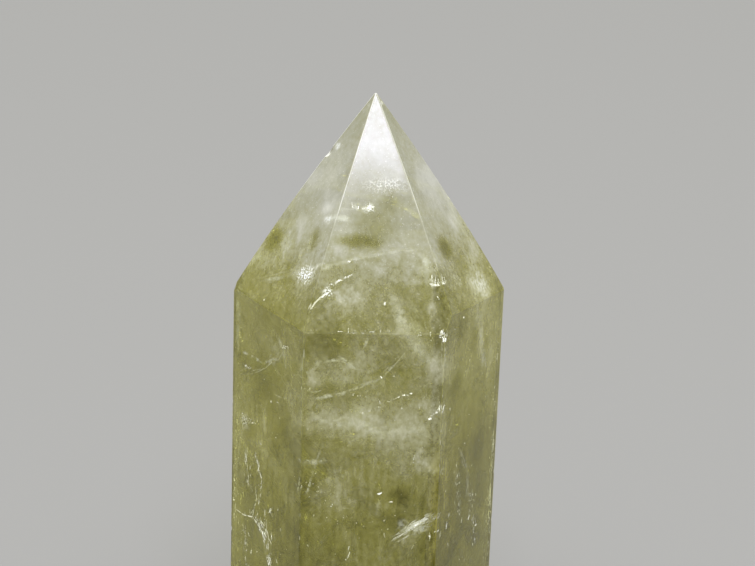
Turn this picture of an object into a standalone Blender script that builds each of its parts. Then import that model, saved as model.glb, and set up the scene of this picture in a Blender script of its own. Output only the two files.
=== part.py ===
"""Citrine crystal point: a six-sided quartz prism cut and polished by hand to a sharp six-sided tip.

It is one solid piece of stone. It stands on its sawn and polished base.
Units are metres, +Z is up and the origin is the middle of the base. The front face looks along -Y.
"""

import math

import bmesh
import bpy
from mathutils import Matrix, Vector

# Driving dimensions
SIDES = 6
CORNER_RADIUS = 0.0210  # axis to a vertical edge, so 42 mm across the corners
HEIGHT = 0.1098  # the rounding takes 0.2 mm off the apex
SHOULDER = 0.0780  # where the tip's flats begin
TIP_HEIGHT = HEIGHT - SHOULDER
APOTHEM = CORNER_RADIUS * math.cos(math.pi / SIDES)  # axis to a side face

# Height at which each tip flat would reach the left and the right corner of the side below it,
# seen from outside. The flats are numbered round from the front, turning to the right.
FLAT_SHOULDERS = (
    (0.0780, 0.0780),  # front
    (0.0808, 0.0780),  # front right, ground a little off square
    (0.0782, 0.0795),  # back right
    (0.0791, 0.0784),  # back
    (0.0786, 0.0779),  # back left
    (0.0780, 0.0781),  # front left
)

# Hand polishing leaves every flat very slightly domed and every edge slightly rounded.
TIP_SWELL = 0.00070  # how far the tip bows outward half way up
FACE_CROWN = 0.00016  # how far the middle of a side stands proud of its corners
EDGE_ROUND = 0.00013
EDGE_SEGMENTS = 2
BASE_CHAMFER = 0.00055
CORNER_WEAR = 0.0009  # depth ground off the left shoulder corner

# Level cuts and upright cuts that let the flats bow
BODY_ROWS = 13
TIP_ROWS = 12
COLUMN_STEP = 10  # degrees
TIP_CAP = 0.0018  # the last bit of the tip is left in plain facets

# Chips along the edges: bearing of the edge in degrees (0 is the front, 90 the right), height,
# length along the edge and depth
CHIPS = (
    (-90, 0.1007, 0.0029, 0.00048),
    (-90, 0.0360, 0.0016, 0.00026),
    (-90, 0.0585, 0.0010, 0.00016),
    (90, 0.0467, 0.0013, 0.00024),
    (90, 0.0380, 0.0021, 0.00018),
    (30, 0.0779, 0.0017, 0.00034),
    (30, 0.0172, 0.0014, 0.00022),
    (-30, 0.0241, 0.0019, 0.00026),
    (150, 0.0633, 0.0022, 0.00030),
    (150, 0.0893, 0.0016, 0.00022),
    (-150, 0.0418, 0.0015, 0.00024),
    (-150, 0.0946, 0.0013, 0.00018),
)
CHIP_SWING = 37  # each chip's scoop is turned this many degrees more than the one before

STONE_COLOUR = (0.60, 0.58, 0.27, 1.0)
STONE_ROUGHNESS = 0.06


def clear_scene():
    for obj in list(bpy.data.objects):
        bpy.data.objects.remove(obj)


def bearing(degrees):
    """Unit vector on the ground for a bearing: 0 is the front, 90 the right."""
    angle = math.radians(degrees)
    return Vector((math.sin(angle), -math.cos(angle), 0.0))


def edge_radius(height):
    """Distance from the axis to a vertical edge of the prism, or to a ridge of the tip."""
    if height <= SHOULDER:
        return CORNER_RADIUS
    up = (height - SHOULDER) / TIP_HEIGHT
    return CORNER_RADIUS * (1 - up) + TIP_SWELL * 4 * up * (1 - up)


def all_of(bm):
    return bm.verts[:] + bm.edges[:] + bm.faces[:]


def cut_away(bm, point, outward):
    """Grinds off everything outside a plane and closes the cut with one flat."""
    cut = bmesh.ops.bisect_plane(
        bm, geom=all_of(bm), dist=1e-7, plane_co=point, plane_no=outward, clear_outer=True
    )
    rim = [item for item in cut["geom_cut"] if isinstance(item, bmesh.types.BMEdge)]
    bmesh.ops.contextual_create(bm, geom=rim)


def rough_prism(bm):
    """Six-sided blank with a flat side to the front."""
    bmesh.ops.create_cone(
        bm,
        cap_ends=True,
        segments=SIDES,
        radius1=CORNER_RADIUS,
        radius2=CORNER_RADIUS,
        depth=HEIGHT * 1.1,
        matrix=Matrix.Translation((0, 0, HEIGHT * 0.55)),
    )
    corner = max(bm.verts, key=lambda vert: vert.co.x)
    if abs(corner.co.y) > 1e-6:  # a corner has to point along +X
        turn = Matrix.Rotation(math.pi / SIDES, 3, "Z")
        bmesh.ops.rotate(bm, verts=bm.verts[:], cent=(0, 0, 0), matrix=turn)


def grind_tip(bm):
    """One plane for each tip flat, through the apex and two heights on the corners below it."""
    apex = Vector((0, 0, HEIGHT))
    sector = 360 / SIDES
    for number, (left_height, right_height) in enumerate(FLAT_SHOULDERS):
        middle = number * sector
        left = bearing(middle - sector / 2) * CORNER_RADIUS + Vector((0, 0, left_height))
        right = bearing(middle + sector / 2) * CORNER_RADIUS + Vector((0, 0, right_height))
        outward = (right - apex).cross(left - apex).normalized()
        if outward.dot(bearing(middle)) < 0:
            outward.negate()
        cut_away(bm, apex, outward)


def wear_left_shoulder(bm):
    """A small worn flat across the shoulder corner at the left."""
    outward = (bearing(-90) + Vector((0, 0, 0.34))).normalized()
    corner = bearing(-90) * CORNER_RADIUS + Vector((0, 0, SHOULDER))
    cut_away(bm, corner - outward * CORNER_WEAR * 0.3, outward)


def soften_edges(bm):
    """Rounds every edge a little, and the rim of the base a little more."""
    rim = [e for e in bm.edges if all(abs(v.co.z) < 1e-6 for v in e.verts)]
    bmesh.ops.bevel(
        bm, geom=rim, offset=BASE_CHAMFER, segments=1, profile=0.5, affect="EDGES"
    )
    low = BASE_CHAMFER * 1.5
    ridges = [e for e in bm.edges if any(v.co.z > low for v in e.verts)]
    bmesh.ops.bevel(
        bm,
        geom=ridges,
        offset=EDGE_ROUND,
        segments=EDGE_SEGMENTS,
        profile=0.5,
        affect="EDGES",
        clamp_overlap=True,
    )


def slice_for_bowing(bm):
    """Level and upright cuts across the flats. They remove nothing."""
    body_step = (SHOULDER - BASE_CHAMFER) / BODY_ROWS
    levels = [BASE_CHAMFER + body_step * (row + 0.5) for row in range(BODY_ROWS)]
    tip_step = (TIP_HEIGHT - TIP_CAP) / TIP_ROWS
    levels += [SHOULDER + tip_step * (row + 1) for row in range(TIP_ROWS)]
    for level in levels:
        bmesh.ops.bisect_plane(
            bm, geom=all_of(bm), dist=1e-7, plane_co=(0, 0, level), plane_no=(0, 0, 1)
        )
    top = HEIGHT - TIP_CAP * 1.001
    for step in range(180 // COLUMN_STEP):
        across = bearing((step + 0.5) * COLUMN_STEP)
        faces = [
            f
            for f in bm.faces
            if BASE_CHAMFER / 4 < f.calc_center_median().z < top
        ]
        parts = {item for f in faces for item in (*f.verts, *f.edges, f)}
        bmesh.ops.bisect_plane(
            bm, geom=list(parts), dist=1e-6, plane_co=(0, 0, 0), plane_no=across
        )


def bow_flats(bm):
    """Moves each point out from the axis: the tip swells, and each side is crowned."""
    half_sector = math.pi / SIDES
    for vert in bm.verts:
        out = Vector((vert.co.x, vert.co.y, 0))
        if out.length < 1e-5:
            continue
        angle = math.atan2(out.x, -out.y)
        off_middle = (angle + half_sector) % (2 * half_sector) - half_sector
        across = math.tan(off_middle) / math.tan(half_sector)
        move = FACE_CROWN * max(0.0, 1 - across * across) * out.length / CORNER_RADIUS
        if vert.co.z > SHOULDER:
            up = min(1.0, (vert.co.z - SHOULDER) / TIP_HEIGHT)
            move += TIP_SWELL * 4 * up * (1 - up) * out.length / max(edge_radius(vert.co.z), 1e-4)
        vert.co += out.normalized() * move


def chip_cutters(collection):
    """Small flattened lumps that scoop shell-shaped chips out of the edges."""
    for number, (degrees, height, length, depth) in enumerate(CHIPS):
        out = bearing(degrees)
        thick = length * 0.42
        centre = out * (edge_radius(height) + thick - depth) + Vector((0, 0, height))
        bm = bmesh.new()
        bmesh.ops.create_icosphere(bm, subdivisions=2, radius=1.0)
        shape = Matrix.Diagonal((thick, length * 0.45, length * 0.5, 1.0))
        roll = Matrix.Rotation(math.radians(number * CHIP_SWING % 50 - 25), 4, "X")
        face_out = Matrix.Rotation(math.atan2(out.y, out.x), 4, "Z")
        bmesh.ops.transform(
            bm, verts=bm.verts[:], matrix=Matrix.Translation(centre) @ face_out @ roll @ shape
        )
        mesh = bpy.data.meshes.new(f"chip_cutter_{number}")
        bm.to_mesh(mesh)
        bm.free()
        cutter = bpy.data.objects.new(mesh.name, mesh)
        cutter.hide_render = True
        cutter.display_type = "WIRE"
        collection.objects.link(cutter)
        yield cutter


def stone_material():
    material = bpy.data.materials.new("citrine")
    material.use_nodes = True
    shader = material.node_tree.nodes["Principled BSDF"]
    shader.inputs["Base Color"].default_value = STONE_COLOUR
    shader.inputs["Roughness"].default_value = STONE_ROUGHNESS
    shader.inputs["Metallic"].default_value = 0.0
    return material


def crystal_point(parts, cutters):
    bm = bmesh.new()
    rough_prism(bm)
    grind_tip(bm)
    wear_left_shoulder(bm)
    soften_edges(bm)
    slice_for_bowing(bm)
    bow_flats(bm)
    bmesh.ops.recalc_face_normals(bm, faces=bm.faces[:])
    mesh = bpy.data.meshes.new("crystal_point")
    bm.to_mesh(mesh)
    bm.free()
    mesh.materials.append(stone_material())
    crystal = bpy.data.objects.new("crystal_point", mesh)
    parts.objects.link(crystal)
    for cutter in chip_cutters(cutters):
        chip = crystal.modifiers.new(cutter.name, "BOOLEAN")
        chip.operation = "DIFFERENCE"
        chip.object = cutter
    return crystal


def main():
    clear_scene()
    parts = bpy.data.collections.new("citrine_crystal_point")
    cutters = bpy.data.collections.new("cutters")
    bpy.context.scene.collection.children.link(parts)
    bpy.context.scene.collection.children.link(cutters)
    crystal_point(parts, cutters)


main()
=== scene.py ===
"""Looks of the citrine crystal point: polished stone with milky veils, mist and bright cracks inside, with a
painted glow on the cracks, clouds, healed lines and grit.
"""

import math
import random

import bpy
import numpy as np
from mathutils import Matrix, Vector


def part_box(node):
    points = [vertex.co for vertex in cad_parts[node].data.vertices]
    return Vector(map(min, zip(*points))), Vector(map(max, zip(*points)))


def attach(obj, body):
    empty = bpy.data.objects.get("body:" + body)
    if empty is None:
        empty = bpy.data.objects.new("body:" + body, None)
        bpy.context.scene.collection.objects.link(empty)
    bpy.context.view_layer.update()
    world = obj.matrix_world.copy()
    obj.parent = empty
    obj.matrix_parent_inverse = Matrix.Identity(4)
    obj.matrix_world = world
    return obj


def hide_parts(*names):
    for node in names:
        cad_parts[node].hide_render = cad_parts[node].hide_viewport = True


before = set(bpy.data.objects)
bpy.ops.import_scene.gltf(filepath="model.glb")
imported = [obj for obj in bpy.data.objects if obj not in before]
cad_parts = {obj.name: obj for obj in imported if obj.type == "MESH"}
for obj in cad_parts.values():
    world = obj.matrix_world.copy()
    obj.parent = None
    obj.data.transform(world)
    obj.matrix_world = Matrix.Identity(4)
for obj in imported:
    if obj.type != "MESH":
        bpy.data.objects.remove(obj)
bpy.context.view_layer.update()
stone_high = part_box("crystal_point")[1]

MM = 0.001
SIDES = 6
HEIGHT = stone_high.z
CORNER_RADIUS = stone_high.x
APOTHEM = CORNER_RADIUS * math.cos(math.pi / SIDES)
SHOULDER = 0.0780  # where the six upright faces end and the tip begins
UPPER_TIP = 0.0900  # nothing that lies inside the stone above this is turned round to its back
QUARTZ_IOR = 1.544
WELD = 1e-6
FLAT_TURN = math.radians(3)  # the faces of one domed flat turn less than this from each other
EDGE_FROM = math.radians(4)  # the strips of a rounded edge turn further than this from every flat
WORN_FROM = math.radians(12)  # and worn faces turn further than this
EDGE_STRIP = 0.00008  # the strips of a rounded edge are narrower than this
CHIP_FACET = 0.0011  # no face of a chip is longer than this
SKIN = 0.0002  # clear quartz that is left between the surface and what lies inside
POLISHED, ROUNDED, WORN = 0, 1, 2  # the stone's finishes

# The camera: its lens in pixels, and its place seen from the middle of the shoulder, in metres and degrees.
FRAME_WIDTH = 755
FOCAL_PIXELS = 2501
CAMERA_DISTANCE = 0.3879
CAMERA_ELEVATION = 21.90
CAMERA_AZIMUTH = -3.19
CAMERA_ROLL = 1.89
MIDDLE_RIGHT = 8.1  # pixels from the shoulder's middle to the middle of the frame
MIDDLE_UP = 4.6


# ---------------------------------------------------------------- directions


def bearing(degrees):
    """Unit vector on the ground: 0 is the front, 90 the right."""
    angle = math.radians(degrees)
    return Vector((math.sin(angle), -math.cos(angle), 0.0))


def direction(azimuth, elevation):
    """Unit vector from the stone towards something at that bearing and height above the floor."""
    rise = math.radians(elevation)
    return bearing(azimuth) * math.cos(rise) + Vector((0, 0, math.sin(rise)))


def at(x, y, z):
    """A place given in millimetres."""
    return Vector((x, y, z)) * MM


def deselect():
    bpy.ops.object.select_all(action="DESELECT")


# ---------------------------------------------------------------- shader sums


class Value:
    """A number that changes over a surface, for use in Python sums."""

    def __init__(self, shader, socket):
        self.shader = shader
        self.socket = socket

    def maths(self, operation, *terms, clamp=False):
        node = self.shader.tree.nodes.new("ShaderNodeMath")
        node.operation = operation
        node.use_clamp = clamp
        for slot, term in zip(node.inputs, terms):
            self.shader.feed(slot, term)
        return Value(self.shader, node.outputs[0])

    def __add__(self, other):
        return self.maths("ADD", self, other)

    def __radd__(self, other):
        return self.maths("ADD", other, self)

    def __sub__(self, other):
        return self.maths("SUBTRACT", self, other)

    def __rsub__(self, other):
        return self.maths("SUBTRACT", other, self)

    def __mul__(self, other):
        return self.maths("MULTIPLY", self, other)

    def __rmul__(self, other):
        return self.maths("MULTIPLY", other, self)

    def __abs__(self):
        return self.maths("ABSOLUTE", self)

    def clamped(self):
        return self.maths("ADD", self, 0.0, clamp=True)

    def ramp(self, low, high):
        """0 at low, 1 at high and a smooth step between; low may be the larger one."""
        settings = {"interpolation_type": "SMOOTHSTEP"}
        if low > high:
            return 1 - self.ramp(high, low)
        return self.shader.node("ShaderNodeMapRange", settings, Value=self, From_Min=low, From_Max=high)


class Shader:
    """A material that is built from nodes."""

    def __init__(self, name):
        self.material = bpy.data.materials.new(name)
        self.material.use_nodes = True
        self.tree = self.material.node_tree
        self.tree.nodes.clear()
        self.output = self.tree.nodes.new("ShaderNodeOutputMaterial")

    def feed(self, socket, term):
        if isinstance(term, Value):
            self.tree.links.new(term.socket, socket)
        else:
            socket.default_value = term

    def node(self, kind, settings=None, output=0, **sockets):
        """Adds a node: its settings first, then its sockets, whose names have _ for a space."""
        node = self.tree.nodes.new(kind)
        for name, value in (settings or {}).items():
            setattr(node, name, value)
        for name, term in sockets.items():
            self.feed(self.socket(node, name.replace("_", " ")), term)
        return Value(self, node.outputs[output])

    @staticmethod
    def socket(node, name):
        """The enabled input of that name, or of that number for a name such as 'in 1'."""
        if name.startswith("in "):
            return node.inputs[int(name[3:])]
        return next(s for s in node.inputs if s.name == name and s.enabled)

    def place(self, scale=(1, 1, 1), turn=(0, 0, 0)):
        """Object coordinates, stretched and turned."""
        spot = self.node("ShaderNodeTexCoord", output=3)
        return self.node("ShaderNodeMapping", Vector=spot, Scale=scale, Rotation=turn)

    def clouds(self, where, scale, detail=3.0, roughness=0.5, distortion=0.0):
        return self.node(
            "ShaderNodeTexNoise",
            Vector=where,
            Scale=scale,
            Detail=detail,
            Roughness=roughness,
            Distortion=distortion,
        )

    def along(self, axis):
        """How far along X, Y or Z a place in the stone is."""
        parts = self.tree.nodes.new("ShaderNodeSeparateXYZ")
        self.feed(parts.inputs[0], self.place())
        return Value(self, parts.outputs[axis])

    def away_from(self, spot, middle):
        """How far a stretched and turned spot is from a place."""
        return self.node("ShaderNodeVectorMath", {"operation": "DISTANCE"}, output=1, in_0=spot, in_1=middle)

    def attribute(self, name):
        return self.node("ShaderNodeAttribute", {"attribute_name": name}, output=2)

    def from_middle(self):
        """How far out on a flake: 0 in its middle and 1 at its rim."""
        flat = self.node("ShaderNodeUVMap")
        middle = self.node("ShaderNodeVectorMath", {"operation": "SUBTRACT"}, in_0=flat, in_1=(0.5, 0.5, 0))
        return 2 * self.node("ShaderNodeVectorMath", {"operation": "LENGTH"}, output=1, in_0=middle)

    def mix(self, share, first, second):
        return self.node("ShaderNodeMixShader", in_0=share, in_1=first, in_2=second)

    def blend(self, share, first, second):
        """A colour between two others."""
        settings = {"data_type": "RGBA"}
        return self.node("ShaderNodeMix", settings, output=2, in_0=share, in_6=first, in_7=second)

    def milk(self, share, colour=(0.93, 0.92, 0.80, 1), painted_glow=0.0):
        """Clear where share is 0; where it is 1, white that passes light on both ways. Where a glow is given,
        it also shines by emission, a painted glow, though it is no lamp.
        """
        clear = self.node("ShaderNodeBsdfTransparent")
        front = self.node(
            "ShaderNodeBsdfPrincipled",
            Base_Color=colour,
            Roughness=1.0,
            Specular_IOR_Level=0.0,
            Emission_Color=colour,
            Emission_Strength=painted_glow,
        )
        through = self.node("ShaderNodeBsdfTranslucent", Color=colour)
        return self.mix(share, clear, self.mix(0.5, front, through))

    def finish(self, surface, volume=None):
        self.tree.links.new(surface.socket, self.output.inputs["Surface"])
        if volume is not None:
            self.tree.links.new(volume.socket, self.output.inputs["Volume"])
        return self.material


# ---------------------------------------------------------------- the studio


def add_camera():
    back = direction(CAMERA_AZIMUTH, CAMERA_ELEVATION)
    right = Vector((0, 0, 1)).cross(back).normalized()
    up = back.cross(right)
    roll = math.radians(CAMERA_ROLL)
    frame_right = right * math.cos(roll) + up * math.sin(roll)
    frame_up = up * math.cos(roll) - right * math.sin(roll)
    target = Vector((0, 0, SHOULDER))
    place = target + back * CAMERA_DISTANCE
    pixel = CAMERA_DISTANCE / FOCAL_PIXELS
    aim = target + (frame_right * MIDDLE_RIGHT + frame_up * MIDDLE_UP) * pixel
    back = (place - aim).normalized()
    frame_up = (frame_up - back * frame_up.dot(back)).normalized()
    frame_right = frame_up.cross(back)
    camera = bpy.data.objects.new("camera", bpy.data.cameras.new("camera"))
    bpy.context.scene.collection.objects.link(camera)
    camera.matrix_world = Matrix([frame_right[:], frame_up[:], back[:]]).transposed().to_4x4()
    camera.matrix_world.translation = place
    camera.data.sensor_width = 36
    camera.data.lens = camera.data.sensor_width * FOCAL_PIXELS / FRAME_WIDTH
    camera.data.clip_start = 0.01
    camera.data.clip_end = 50
    bpy.context.scene.camera = camera


def add_floor():
    bpy.ops.mesh.primitive_circle_add(vertices=96, radius=3.0, fill_type="NGON", location=(0, 0, -0.0001))
    floor = bpy.context.object
    floor.name = "floor"
    look = Shader("pale_floor")
    paper = look.node("ShaderNodeBsdfDiffuse", Color=(0.40, 0.395, 0.378, 1))
    floor.data.materials.append(look.finish(paper))


def add_world():
    world = bpy.data.worlds.new("studio")
    bpy.context.scene.world = world
    world.use_nodes = True
    sky = world.node_tree.nodes["Background"]
    sky.inputs["Color"].default_value = (1.0, 0.99, 0.955, 1)
    sky.inputs["Strength"].default_value = 0.61


def add_softbox(name, azimuth, elevation, distance, width, height, watts, colour=(0.94, 0.97, 1.0)):
    """A soft lamp of so many metres by metres, aimed at the middle of the stone's shoulder."""
    towards = direction(azimuth, elevation)
    lamp = bpy.data.lights.new(name, "AREA")
    lamp.shape = "RECTANGLE"
    lamp.size = width
    lamp.size_y = height
    lamp.energy = watts
    lamp.color = colour
    box = bpy.data.objects.new(name, lamp)
    bpy.context.scene.collection.objects.link(box)
    box.location = Vector((0, 0, SHOULDER)) + towards * distance
    box.rotation_mode = "QUATERNION"
    box.rotation_quaternion = towards.to_track_quat("Z", "Y")
    return lamp


def feather(lamp, low, high):
    """Dims a softbox from full at the share high of its height down to nothing at the share low."""
    lamp.use_nodes = True
    nodes, links = lamp.node_tree.nodes, lamp.node_tree.links
    spot = nodes.new("ShaderNodeNewGeometry")
    parts = nodes.new("ShaderNodeSeparateXYZ")
    fall = nodes.new("ShaderNodeMapRange")
    fall.interpolation_type = "SMOOTHSTEP"
    fall.inputs["From Min"].default_value = low
    fall.inputs["From Max"].default_value = high
    links.new(spot.outputs["Parametric"], parts.inputs[0])
    links.new(parts.outputs["Y"], fall.inputs["Value"])
    links.new(fall.outputs["Result"], nodes["Emission"].inputs["Strength"])


def add_lamps():
    """The key lamp shines back from the tip's front flat. The others light from above and from behind."""
    blue = (0.80, 0.80, 1.0)
    key = add_softbox("key_softbox", 1.5, 46.4, distance=1.1, width=0.36, height=0.24, watts=3.7, colour=blue)
    feather(key, low=0.02, high=0.46)
    add_softbox("overhead_softbox", 0, 75, distance=1.4, width=1.2, height=1.0, watts=10.6)
    add_softbox("back_softbox", 180, 38, distance=1.5, width=1.4, height=0.8, watts=5.0)


def set_view():
    scene = bpy.context.scene
    scene.view_settings.view_transform = "Standard"
    scene.cycles.transparent_max_bounces = 96
    scene.cycles.max_bounces = 40
    scene.cycles.glossy_bounces = 32
    scene.cycles.transmission_bounces = 32
    scene.cycles.diffuse_bounces = 10


# ---------------------------------------------------------------- how deep a place lies


def flats():
    """Outward normals and distances from the middle of all the stone's flats."""
    found = []
    for number in range(SIDES):
        out = bearing(number * 360 / SIDES)
        slope = (out * (HEIGHT - SHOULDER) + Vector((0, 0, APOTHEM))).normalized()
        found.append((*out, APOTHEM))
        found.append((*slope, slope.z * HEIGHT))
    found.append((0, 0, -1, 0))
    return np.array(found)


FLATS = flats()
TOWARDS_FRONT = direction(-3, 22)


def room_at(spot, long_axis, wide_axis, aspect):
    """The half length that a flake may have at a spot before it reaches the skin of the stone."""
    gap = FLATS[:, 3] - SKIN - FLATS[:, :3] @ np.array(spot)
    reach = np.abs(FLATS[:, :3] @ np.array(long_axis)) + aspect * np.abs(FLATS[:, :3] @ np.array(wide_axis))
    return float(np.min(gap / np.maximum(reach, 0.05)))


def depth_of(spot):
    """How far a spot lies under the nearest flat."""
    return float(np.min(FLATS[:, 3] - FLATS[:, :3] @ np.array(spot)))


# ---------------------------------------------------------------- the stone

# Shapes of the pale and dark places in the haze: how a distance is stretched along X, Y and Z.
ROUND = (1, 1, 1)
LEVEL = (0.45, 1, 1.3)
UPRIGHT = (1.3, 1, 0.42)

# Pale and dark places in the haze: shape, middle and radius in millimetres, and how much milkier it is.
HAZE_SPOTS = [
    (ROUND, (-6.8, -3.4, 95.6), 9.0, 0.09),
    (ROUND, (7.5, -2.4, 95.4), 9.0, 0.12),
    (LEVEL, (-6.1, -7.0, 93.5), 1.8, 0.20),
    (ROUND, (-12.5, -5.8, 85.7), 2.2, 0.16),
    (UPRIGHT, (-10.9, -6.0, 87.5), 1.6, 0.12),
    (ROUND, (-5.2, -11.5, 88.6), 2.0, 0.18),
    (UPRIGHT, (7.1, -9.0, 90.3), 1.3, 0.16),
    (ROUND, (16.6, -4.2, 80.1), 3.6, 0.08),
    (ROUND, (-10.2, -4.5, 89.8), 2.6, 0.12),
    (ROUND, (11.8, -2.3, 89.9), 2.6, 0.10),
    (ROUND, (15.1, -1.6, 85.0), 2.6, 0.16),
    (ROUND, (13.6, -7.2, 81.9), 2.6, 0.26),
    (ROUND, (-4.4, -15.3, 82.1), 3.2, 0.16),
    (ROUND, (5.4, -12.4, 84.6), 3.4, 0.16),
    (ROUND, (2.9, -15.4, 81.9), 1.9, 0.09),
    (ROUND, (4.1, -17.5, 78.3), 2.6, 0.07),
    (ROUND, (6.9, -17.7, 75.3), 2.9, 0.09),
    (ROUND, (9.4, -17.7, 72.4), 2.9, 0.09),
    (UPRIGHT, (16.6, -6.9, 74.0), 2.6, 0.22),
    (UPRIGHT, (18.5, -3.6, 67.5), 2.2, 0.16),
    (ROUND, (-8.8, -17.7, 70.5), 2.2, 0.18),
    (LEVEL, (-4.8, -17.7, 65.2), 5.0, 0.10),
    (LEVEL, (-6.2, -17.7, 63.4), 4.6, 0.13),
    (ROUND, (-4.8, -17.7, 53.0), 6.0, 0.08),
    (LEVEL, (4.4, -17.7, 62.2), 7.0, 0.08),
    (LEVEL, (8.8, -17.7, 65.6), 3.8, 0.09),
    (UPRIGHT, (-15.7, -8.4, 59.0), 1.3, 0.26),
    (ROUND, (8.0, -17.7, 56.4), 2.3, 0.10),
    (LEVEL, (-8.7, -17.7, 56.6), 1.1, 0.12),
    (UPRIGHT, (8.6, -16.5, 80.0), 1.7, 0.16),
    (UPRIGHT, (8.8, -18.0, 74.5), 1.7, 0.12),
    (UPRIGHT, (9.6, -18.0, 55.0), 1.6, 0.20),
    (UPRIGHT, (9.7, -18.0, 50.5), 1.6, 0.20),
    (UPRIGHT, (9.8, -18.0, 46.0), 1.6, 0.22),
    (UPRIGHT, (9.9, -18.0, 41.5), 1.6, 0.24),
    (UPRIGHT, (9.9, -18.0, 37.0), 1.6, 0.24),
    (ROUND, (-0.9, -8.3, 94.1), 1.5, -0.40),
    (ROUND, (-14.3, -1.3, 86.1), 3.2, -0.26),
    (LEVEL, (-2.6, -11.3, 89.9), 2.3, -0.24),
    (UPRIGHT, (-8.9, -8.8, 88.6), 1.8, -0.22),
    (ROUND, (0.0, -9.0, 91.0), 5.5, -0.16),
    (ROUND, (9.8, -8.4, 87.6), 3.0, -0.32),
    (ROUND, (2.3, -8.1, 95.3), 2.6, -0.11),
    (ROUND, (0, 0, 104), 5.0, -0.06),
    (ROUND, (-16.0, -7.9, 77.3), 4.6, -0.06),
    (ROUND, (-6.6, -17.7, 76.7), 4.4, -0.14),
    (ROUND, (13.0, -13.0, 77.0), 2.6, -0.09),
    (UPRIGHT, (9.4, -17.7, 72.0), 2.4, 0.12),
    (ROUND, (12.6, -13.7, 68.3), 2.6, -0.18),
    (ROUND, (-16.3, -7.4, 66.3), 4.4, -0.16),
    (ROUND, (-18.1, -4.1, 56.0), 2.6, -0.22),
    (ROUND, (4.7, -17.7, 51.2), 2.6, -0.26),
    (ROUND, (3.6, -17.7, 46.9), 3.0, -0.22),
    (UPRIGHT, (16.9, -6.3, 49.0), 3.8, -0.16),
    (UPRIGHT, (14.4, -10.8, 50.0), 3.4, -0.16),
    (UPRIGHT, (13.0, -13.0, 36.0), 3.4, -0.16),
    (UPRIGHT, (17.5, -5.3, 36.0), 3.8, -0.16),
    (UPRIGHT, (-17.7, -4.8, 40.0), 4.0, -0.20),
]

# Places where the haze is as white as cotton, in the same way.
COTTON_SPOTS = [
    (ROUND, (16.4, -5.0, 80.7), 3.6, 0.60),
    (ROUND, (14.2, -7.2, 81.8), 3.0, 0.40),
    (ROUND, (14.6, -4.3, 83.8), 2.6, 0.35),
    (ROUND, (8.2, -13.8, 84.0), 1.6, 0.7),
    (LEVEL, (-5.6, -8.8, 92.4), 1.4, 1.0),
    (LEVEL, (-3.6, -7.8, 93.9), 1.1, 0.8),
    (ROUND, (-1.4, -8.4, 94.1), 1.5, 0.5),
    (ROUND, (-5.3, -0.8, 101.2), 0.9, 0.9),
]

# Places of fine bright grit, in the same way. The grit also shines with a painted glow by emission, though it
# is no lamp.
GRIT_SPOTS = [
    (LEVEL, (-9.6, -11.8, 84.6), 2.6, 1.0),
    (ROUND, (-7.0, -15.0, 83.1), 1.3, 1.0),
    (LEVEL, (1.4, -7.2, 97.4), 2.2, 0.30),
    (ROUND, (9.0, -13.4, 83.8), 1.2, 0.6),
    (ROUND, (-0.9, -8.6, 94.1), 1.5, 1.0),
    (ROUND, (-18.6, -3.6, 56.6), 2.2, 0.55),
]

# Stretches of X or Z over which the haze and the colour change, from none of the change to all of it.
LOWER_BODY = (0.058, 0.044)
UPPER_BODY = (0.055, 0.065)
STREAKY_BODY = (0.068, 0.052)
AMBER_BODY = (0.066, 0.052)
PALE_TIP = (0.076, 0.090)
MILKY_TIP = (0.080, 0.092)
CALM_TIP = (0.084, 0.093)
BRUISED_TIP = (0.0915, 0.0955)
RIGHT_FACES = (0.0076, 0.0104)
BOTH_SIDES = (0.0070, 0.0150)

# Shades of the quartz just under its surface: deep where the haze is thin and pale where it is thick.
DEEP_FRONT = (0.59, 0.57, 0.15, 1)
DEEP_ASIDE = (0.54, 0.51, 0.02, 1)
DEEP_AMBER = (0.27, 0.245, 0.0, 1)
PALE_FRONT = (0.87, 0.86, 0.62, 1)
PALE_ASIDE = (0.81, 0.79, 0.38, 1)
PALE_AMBER = (0.50, 0.465, 0.12, 1)
PALE_UP = (0.89, 0.89, 0.76, 1)
COTTON_WHITE = (0.90, 0.94, 1.0, 1)
GRIT_PAINTED_GLOW = (0.95, 0.97, 1, 1)
BRUISE = (0.88, 0.88, 0.78, 1)
NO_GLOW = (0, 0, 0, 1)


def front_half(look):
    """Object coordinates with the back half of the stone turned round to the front."""
    side = (0 - look.along("Y")).maths("SIGN")
    x, y = look.along("X") * side, look.along("Y") * side
    return look.node("ShaderNodeCombineXYZ", X=x, Y=y, Z=look.along("Z"))


def spots_over(look, spots):
    """The sum of pale and dark places, the same at the back as at the front."""
    spot = front_half(look)
    shapes = (ROUND, LEVEL, UPRIGHT)
    stretched = {scale: look.node("ShaderNodeMapping", Vector=spot, Scale=scale) for scale in shapes}
    total = 0
    for scale, middle, radius, amount in spots:
        there = Vector(s * m for s, m in zip(scale, at(*middle)))
        total += amount * look.away_from(stretched[scale], there).ramp(radius * MM, 0.15 * radius * MM)
    return total


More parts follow.
